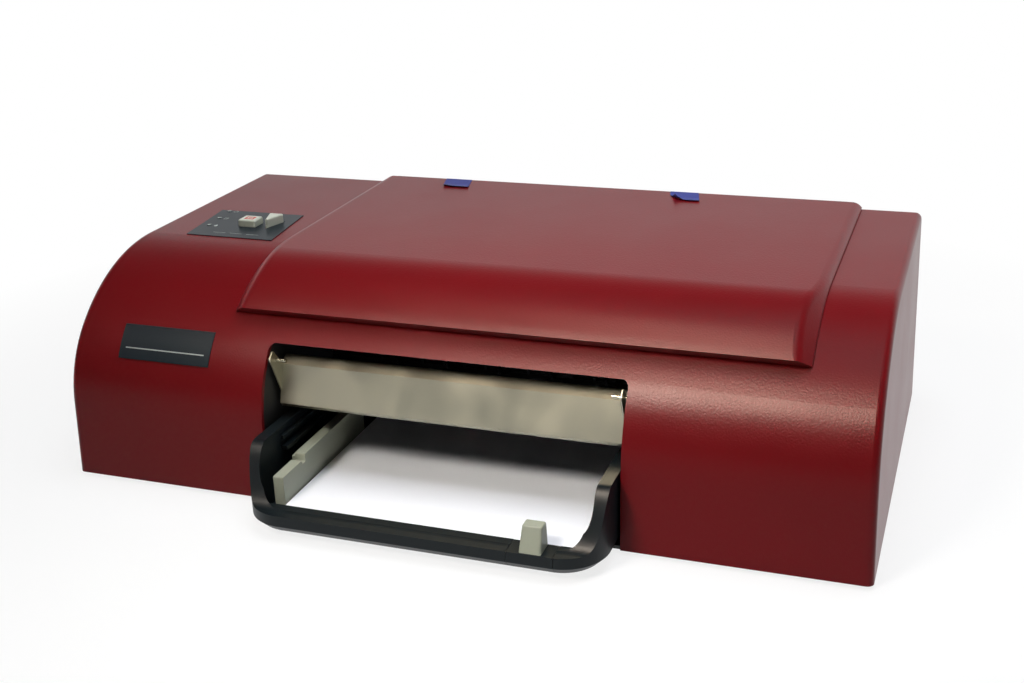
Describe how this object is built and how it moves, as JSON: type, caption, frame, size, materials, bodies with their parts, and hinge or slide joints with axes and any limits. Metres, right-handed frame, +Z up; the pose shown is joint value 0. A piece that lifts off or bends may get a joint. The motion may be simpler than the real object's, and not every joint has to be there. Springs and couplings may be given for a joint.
{
  "type": "desktop printer",
  "caption": "Wide desktop printer with a curved housing, hinged lid, front paper tray with guides, swinging steel exit flap and a carriage under the lid.",
  "frame": {"origin": "on the table, under the middle of the whole outline", "axes": "+X to the printer's right, -Y out of its front, +Z up"},
  "size_m": [0.6, 0.368, 0.1675],
  "materials": {
    "burgundy_paint": "fine texture, satin",
    "dark_plastic": "moulded, satin",
    "charcoal_tray": "moulded, satin",
    "guide_grey": "moulded, satin",
    "satin_steel": "satin sheet",
    "bright_steel": "ground",
    "overlay_film": "printed film, bare",
    "key_white": "translucent cap",
    "lamp_lens": "lens",
    "blue_tape": "crepe tape",
    "foot_rubber": "matte",
    "tyre_rubber": "matte",
    "belt_rubber": "toothed belt",
    "gear_nylon": "natural nylon",
    "motor_can": "zinc plated",
    "circuit_board": "solder mask",
    "board_part": "moulded",
    "cartridge_black": "moulded",
    "cartridge_colour": "moulded",
    "carriage_grey": "moulded",
    "zinc_screw": "zinc plated",
    "clear_strip": "film"
  },
  "bodies": {
    "chassis": {"housing_shell": "burgundy_paint", "base_pan": "dark_plastic", "rubber_feet": "foot_rubber", "rear_panel": "dark_plastic", "rear_panel_screws": "zinc_screw", "power_inlet": "dark_plastic", "data_socket": "bright_steel", "front_plate": "overlay_film", "mouth_liner": "dark_plastic", "hinge_lugs": "burgundy_paint", "hinge_pins": "bright_steel", "panel_overlay": "overlay_film", "panel_lamps": "lamp_lens", "key_board": "circuit_board", "key_switches": "board_part", "flap_pins": "bright_steel", "paper_tray": "charcoal_tray", "left_frame": "satin_steel", "right_frame": "satin_steel", "rear_beam": "satin_steel", "guide_rod": "bright_steel", "drive_belt": "belt_rubber", "idler_stud": "bright_steel", "carriage_motor": "motor_can", "encoder_strip": "clear_strip", "platen": "dark_plastic", "service_station": "carriage_grey", "feed_motor": "motor_can", "paper_guide": "dark_plastic", "pinch_holders": "carriage_grey", "power_supply": "motor_can", "board_posts": "gear_nylon", "main_board": "circuit_board", "board_parts": "board_part"},
    "lid": {"lid": "burgundy_paint", "tape_tabs": "blue_tape"},
    "exit_flap": {"exit_flap": "satin_steel"},
    "width_guide": {"width_guide": "guide_grey"},
    "length_guide": {"length_slider": "charcoal_tray", "length_guide": "guide_grey"},
    "stop_key": {"stop_key": "key_white"},
    "feed_key": {"feed_key": "key_white"},
    "carriage": {"carriage": "carriage_grey", "black_cartridge": "cartridge_black", "colour_cartridge": "cartridge_colour"},
    "drive_pulley": {"drive_pulley": "gear_nylon", "drive_shaft": "bright_steel"},
    "idler_pulley": {"idler_pulley": "gear_nylon"},
    "feed_roller": {"feed_shaft": "bright_steel", "feed_tyres": "tyre_rubber", "feed_gear": "gear_nylon"},
    "feed_pinion": {"feed_pinion": "gear_nylon"},
    "pinch_rollers": {"pinch_rollers": "tyre_rubber"},
    "exit_roller": {"exit_shaft": "bright_steel", "exit_wheels": "tyre_rubber"},
    "star_wheels": {"star_wheels": "bright_steel"}
  },
  "joints": [
    {"name": "lid_hinge", "type": "hinge", "parent": "chassis", "child": "lid", "pos_m": [0, 0.177, 0.16295], "axis": [-1, 0, 0], "range_deg": [0, 75]},
    {"name": "flap_hinge", "type": "hinge", "parent": "chassis", "child": "exit_flap", "pos_m": [0, -0.11044, 0.104], "axis": [-1, 0, 0], "range_deg": [0, 70]},
    {"name": "width_guide_slide", "type": "slide", "parent": "chassis", "child": "width_guide", "axis": [1, 0, 0], "range_m": [0, 0.1]},
    {"name": "length_guide_slide", "type": "slide", "parent": "chassis", "child": "length_guide", "axis": [0, -1, 0], "range_m": [0, 0.076]},
    {"name": "stop_key_press", "type": "slide", "parent": "chassis", "child": "stop_key", "axis": [0, 0, -1], "range_m": [0, 0.001], "stiffness_N_per_m": 800},
    {"name": "feed_key_press", "type": "slide", "parent": "chassis", "child": "feed_key", "axis": [0, 0, -1], "range_m": [0, 0.001], "stiffness_N_per_m": 800},
    {"name": "carriage_slide", "type": "slide", "parent": "chassis", "child": "carriage", "axis": [1, 0, 0], "range_m": [-0.278, 0]},
    {"name": "drive_pulley_spin", "type": "hinge", "parent": "chassis", "child": "drive_pulley", "pos_m": [0.2217, 0.095, 0.10599], "axis": [0, 1, 0], "range_deg": [-5, 1901.2]},
    {"name": "idler_pulley_spin", "type": "hinge", "parent": "chassis", "child": "idler_pulley", "pos_m": [-0.14, 0.095, 0.10599], "axis": [0, 1, 0], "range_deg": [-5, 1901.2]},
    {"name": "feed_spin", "type": "hinge", "parent": "chassis", "child": "feed_roller", "pos_m": [0, 0.102, 0.038], "axis": [1, 0, 0], "continuous": true},
    {"name": "pinion_spin", "type": "hinge", "parent": "chassis", "child": "feed_pinion", "pos_m": [0, 0.12906, 0.04785], "axis": [1, 0, 0], "continuous": true},
    {"name": "pinch_spin", "type": "hinge", "parent": "chassis", "child": "pinch_rollers", "pos_m": [0, 0.1, 0.0634], "axis": [1, 0, 0], "continuous": true},
    {"name": "exit_spin", "type": "hinge", "parent": "chassis", "child": "exit_roller", "pos_m": [0, 0.004, 0.0525], "axis": [1, 0, 0], "continuous": true},
    {"name": "star_spin", "type": "hinge", "parent": "chassis", "child": "star_wheels", "pos_m": [0, 0.004, 0.0669], "axis": [1, 0, 0], "continuous": true}
  ],
  "couplings": [
    {"joint": "drive_pulley_spin", "follows": "carriage_slide", "rad_per_m": -119.05},
    {"joint": "idler_pulley_spin", "follows": "carriage_slide", "rad_per_m": -119.05},
    {"joint": "pinion_spin", "follows": "feed_spin", "ratio": -3},
    {"joint": "pinch_spin", "follows": "feed_spin", "ratio": -4},
    {"joint": "exit_spin", "follows": "feed_spin", "ratio": 2.8571},
    {"joint": "star_spin", "follows": "feed_spin", "ratio": -2.8571}
  ]
}
